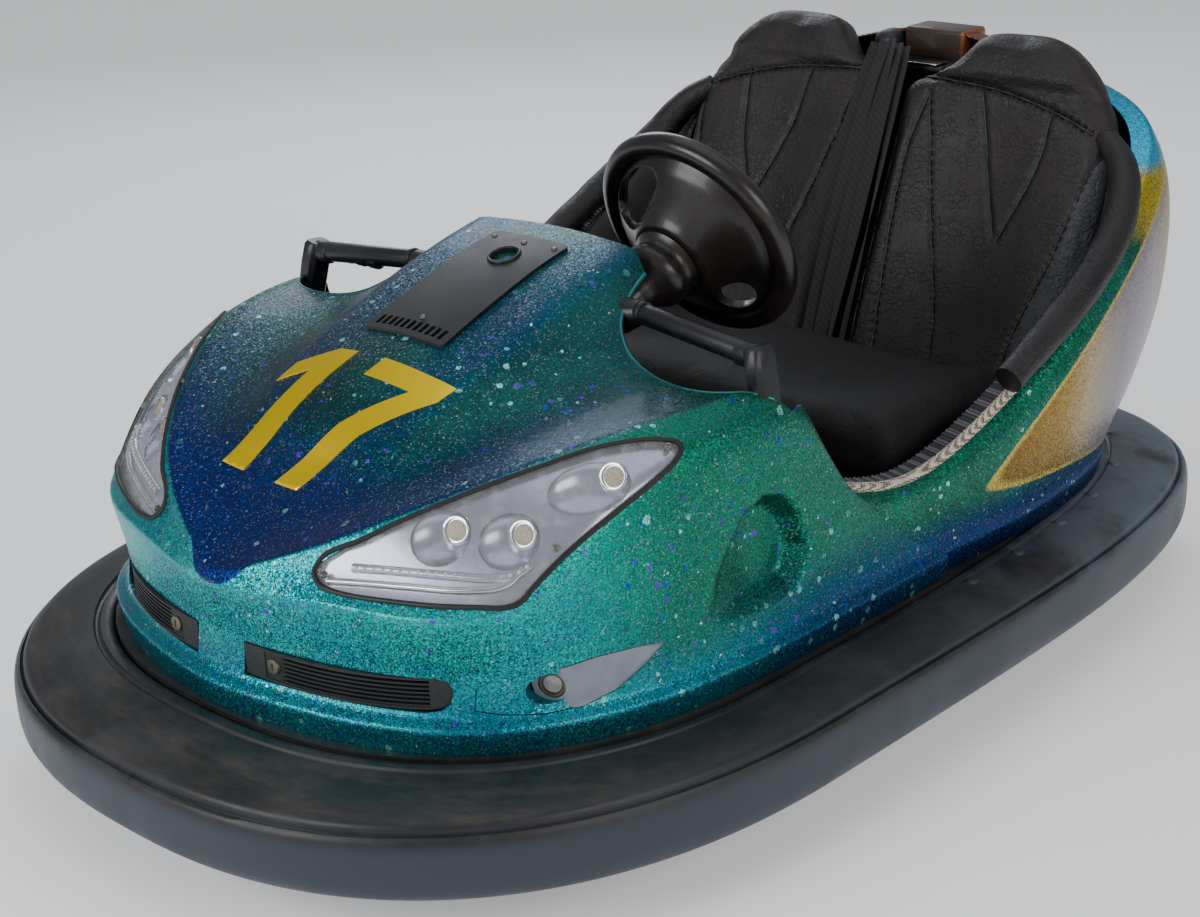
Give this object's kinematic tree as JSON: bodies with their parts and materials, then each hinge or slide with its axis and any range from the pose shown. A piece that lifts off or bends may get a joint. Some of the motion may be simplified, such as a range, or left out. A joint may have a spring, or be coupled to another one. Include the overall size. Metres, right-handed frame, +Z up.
{
  "type": "bumper car",
  "caption": "Two-seat electric fairground bumper car: fibreglass body with lamps and bucket seats on a rubber ring, with a steered drive wheel under the hood.",
  "frame": {"origin": "on the floor, at the centre of the car's length and width", "axes": "+Z up, the front of the car faces -Y, the driver's side (the car's left) is +X"},
  "size_m": [1.266, 1.95, 0.866],
  "materials": {
    "ring_rubber": "matt, scuffed",
    "tyre_rubber": "matt",
    "flake_paint": "metal-flake gloss",
    "lamp_lens": "clear",
    "lamp_silver": "bright",
    "black_plastic": "satin",
    "black_vinyl": "grained",
    "bare_steel": "satin",
    "painted_steel": "satin",
    "grey_plastic": "satin",
    "belt_web": "woven webbing"
  },
  "bodies": {
    "root": {"bumper_ring": "ring_rubber", "bumper_band": "painted_steel", "chassis_plate": "painted_steel", "cross_beam_front": "painted_steel", "cross_beam_rear": "painted_steel", "slewing_ring": "bare_steel", "rear_bracket_left": "painted_steel", "rear_bracket_right": "painted_steel", "floor_pan": "black_plastic", "bulkhead": "black_plastic", "front_body": "flake_paint", "rear_body": "flake_paint", "headlamp_left": "lamp_silver", "headlamp_right": "lamp_silver", "headlamp_lens_left": "lamp_lens", "headlamp_lens_right": "lamp_lens", "hood_panel": "black_plastic", "steering_column": "black_plastic", "grab_handle_left": "black_plastic", "grab_handle_right": "black_plastic", "seat_pedestal": "black_plastic", "seat_cushion": "black_vinyl", "seat_back_left": "black_vinyl", "seat_back_right": "black_vinyl", "grille_left": "black_plastic", "grille_right": "black_plastic", "fog_scoop_left": "grey_plastic", "fog_scoop_right": "grey_plastic", "side_pocket_left": "flake_paint", "side_pocket_right": "flake_paint", "pedal": "black_plastic", "bolster_left": "black_vinyl", "bolster_right": "black_vinyl", "belt_anchor": "bare_steel", "belt_strap": "belt_web"},
    "drive_head": {"drive_fork": "painted_steel", "drive_motor": "painted_steel"},
    "drive_wheel": {"drive_wheel_hub": "bare_steel", "drive_wheel_tyre": "tyre_rubber"},
    "steering": {"steering_wheel": "black_plastic", "steering_shaft": "bare_steel"},
    "rear_wheel_left": {"rear_wheel_left_hub": "bare_steel", "rear_wheel_left_tyre": "tyre_rubber"},
    "rear_wheel_right": {"rear_wheel_right_hub": "bare_steel", "rear_wheel_right_tyre": "tyre_rubber"}
  },
  "joints": [
    {"name": "drive_steer", "type": "hinge", "parent": "root", "child": "drive_head", "pos_m": [0, -0.5, 0.21], "axis": [0, 0, 1], "continuous": true},
    {"name": "drive_wheel_spin", "type": "hinge", "parent": "drive_head", "child": "drive_wheel", "pos_m": [0, -0.5, 0.1], "axis": [1, 0, 0], "continuous": true},
    {"name": "steering_turn", "type": "hinge", "parent": "root", "child": "steering", "pos_m": [0.14, 0.02, 0.681], "axis": [0, 0.9171, 0.3987], "continuous": true},
    {"name": "rear_wheel_left_spin", "type": "hinge", "parent": "root", "child": "rear_wheel_left", "pos_m": [0.34, 0.46, 0.068], "axis": [1, 0, 0], "continuous": true},
    {"name": "rear_wheel_right_spin", "type": "hinge", "parent": "root", "child": "rear_wheel_right", "pos_m": [-0.34, 0.46, 0.068], "axis": [1, 0, 0], "continuous": true}
  ],
  "couplings": [
    {"joint": "steering_turn", "follows": "drive_steer", "ratio": 1}
  ]
}
